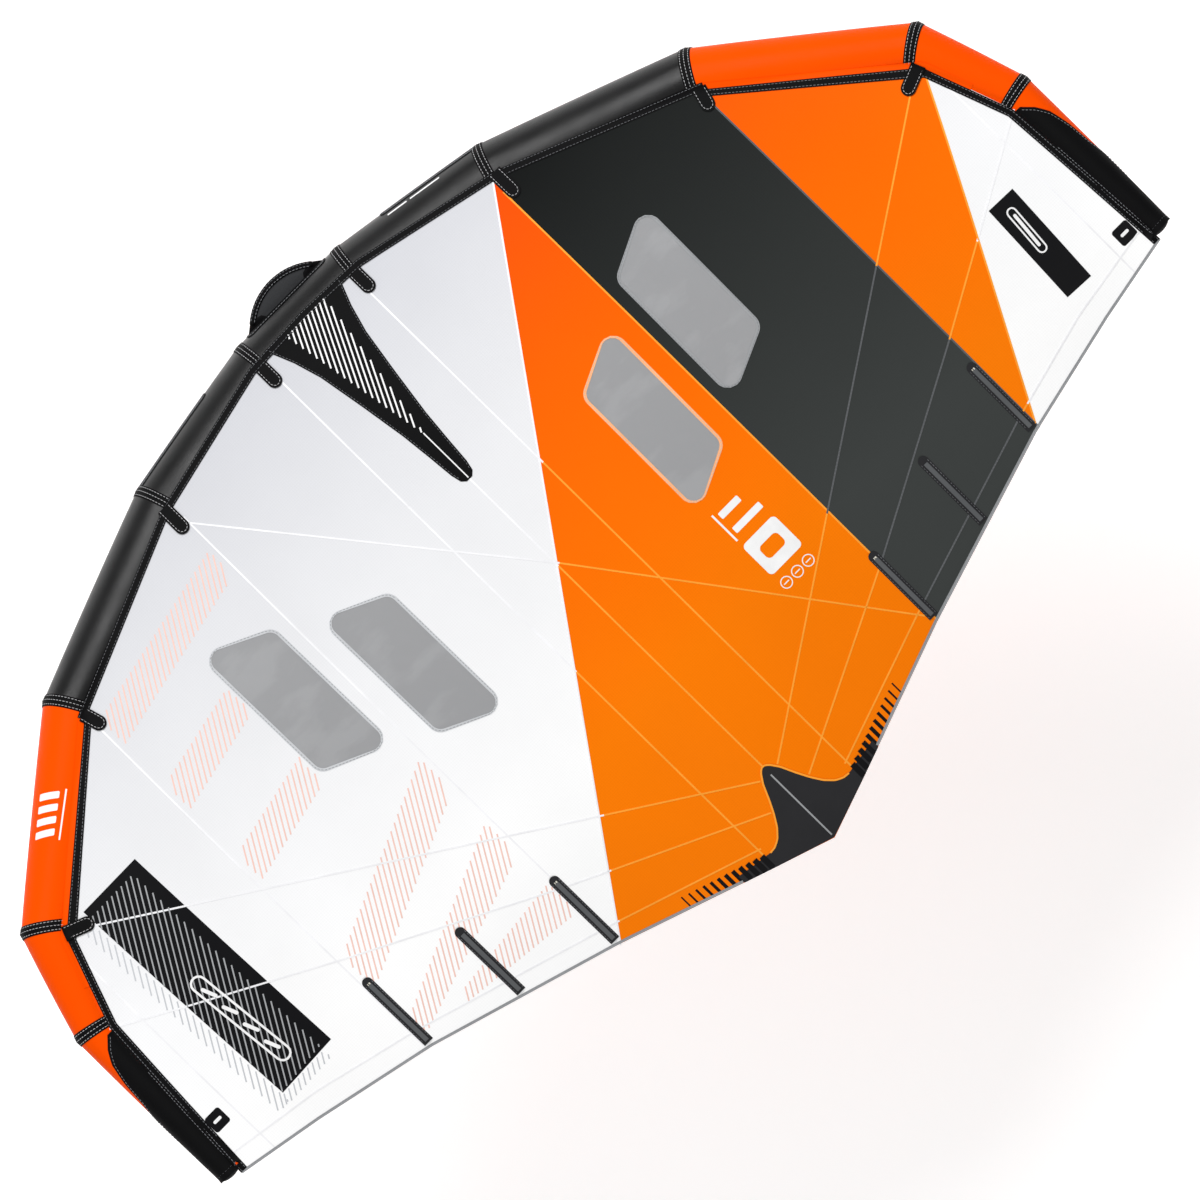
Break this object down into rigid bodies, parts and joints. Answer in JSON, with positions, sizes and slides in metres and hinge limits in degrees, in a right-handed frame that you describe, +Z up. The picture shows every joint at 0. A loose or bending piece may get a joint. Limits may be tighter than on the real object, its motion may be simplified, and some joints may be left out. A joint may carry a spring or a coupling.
{
  "type": "inflatable hand wing",
  "caption": "Inflatable hand-held wing for wing foiling: segmented air tube leading edge, cloth canopy with windows, one strut and swinging grips",
  "frame": {"origin": "middle of the front strut handle's grip, on the plane of symmetry", "axes": "+Z up towards the top of the canopy, -Y forward towards the leading edge, +X towards the rider's left tip"},
  "size_m": [3.2318, 1.916, 0.4748],
  "materials": {
    "tube_black": "woven polyester with a soft gloss",
    "tube_orange": "woven polyester with a soft gloss",
    "cloth_white": "ripstop sailcloth",
    "cloth_orange": "ripstop sailcloth",
    "cloth_dark": "ripstop sailcloth",
    "window_film": "clear film, grey",
    "trim_black": "stitched reinforcement cloth",
    "patch_dark": "stitched reinforcement cloth",
    "bladder_film": "thin film",
    "batten_glass": "fibreglass",
    "webbing": "woven webbing",
    "grip_foam": "textured foam",
    "core_tube": "stiff rod",
    "valve_plastic": "moulded"
  },
  "bodies": {
    "wing": {"batten_pockets": "patch_dark", "battens": "batten_glass", "canopy_front_centre": "cloth_white", "canopy_front_left": "cloth_white", "canopy_front_right": "cloth_white", "canopy_outer_left": "cloth_white", "canopy_outer_right": "cloth_dark", "canopy_rear_centre": "cloth_orange", "canopy_rear_left": "cloth_orange", "canopy_rear_right": "cloth_orange", "canopy_tip_left": "cloth_white", "canopy_tip_right": "cloth_white", "canopy_wedge_right": "cloth_orange", "handle_anchors": "trim_black", "hose_fittings": "valve_plastic", "joint_bands_1": "trim_black", "joint_bands_2": "trim_black", "joint_bands_3": "trim_black", "joint_bands_4": "trim_black", "joint_bands_5": "trim_black", "le_bladder": "bladder_film", "le_centre_patch": "trim_black", "le_flaps": "trim_black", "le_segment_centre": "tube_black", "le_segment_left_1": "tube_black", "le_segment_left_2": "tube_black", "le_segment_left_3": "tube_orange", "le_segment_left_4": "tube_orange", "le_segment_left_5": "tube_orange", "le_segment_right_1": "tube_black", "le_segment_right_2": "tube_black", "le_segment_right_3": "tube_orange", "le_segment_right_4": "tube_orange", "le_segment_right_5": "tube_orange", "leash_loop": "webbing", "nose_patch": "trim_black", "scuff_pads": "trim_black", "strut": "tube_black", "strut_bladder": "bladder_film", "strut_end_panel": "tube_black", "te_centre_patch": "patch_dark", "te_hem": "patch_dark", "tip_covers": "trim_black", "tip_end_panels": "trim_black", "valve_body": "valve_plastic", "window_inner_left": "window_film", "window_inner_right": "window_film", "window_outer_left": "window_film", "window_outer_right": "window_film"},
    "nose_handle": {"le_handle_rim": "webbing", "le_handle_web": "grip_foam"},
    "front_handle": {"front_handle_grip": "grip_foam", "front_handle_core": "core_tube", "front_handle_straps": "webbing"},
    "rear_handle": {"rear_handle_grip": "grip_foam", "rear_handle_core": "core_tube", "rear_handle_straps": "webbing"},
    "valve_cap": {"valve_cap": "valve_plastic"},
    "valve_poppet": {"valve_poppet": "valve_plastic"}
  },
  "joints": [
    {"name": "nose_handle_flex", "type": "hinge", "parent": "wing", "child": "nose_handle", "pos_m": [0, -0.531, 0], "axis": [1, 0, 0], "range_deg": [-60, 60], "stiffness_Nm_per_rad": 0.4},
    {"name": "front_handle_swing", "type": "hinge", "parent": "wing", "child": "front_handle", "pos_m": [0, -0.00597, 0.04587], "axis": [0, 0.9916, 0.1291], "range_deg": [-40, 40]},
    {"name": "rear_handle_swing", "type": "hinge", "parent": "wing", "child": "rear_handle", "pos_m": [0, 0.58, 0.07314], "axis": [0, 0.9991, -0.042], "range_deg": [-40, 40]},
    {"name": "valve_cap_hinge", "type": "hinge", "parent": "wing", "child": "valve_cap", "pos_m": [0.112, -0.443, -0.1243], "axis": [1, 0, 0], "range_deg": [-150, 0]},
    {"name": "valve_poppet_press", "type": "slide", "parent": "wing", "child": "valve_poppet", "axis": [0, 0, 1], "range_m": [0, 0.0025], "stiffness_N_per_m": 400}
  ]
}
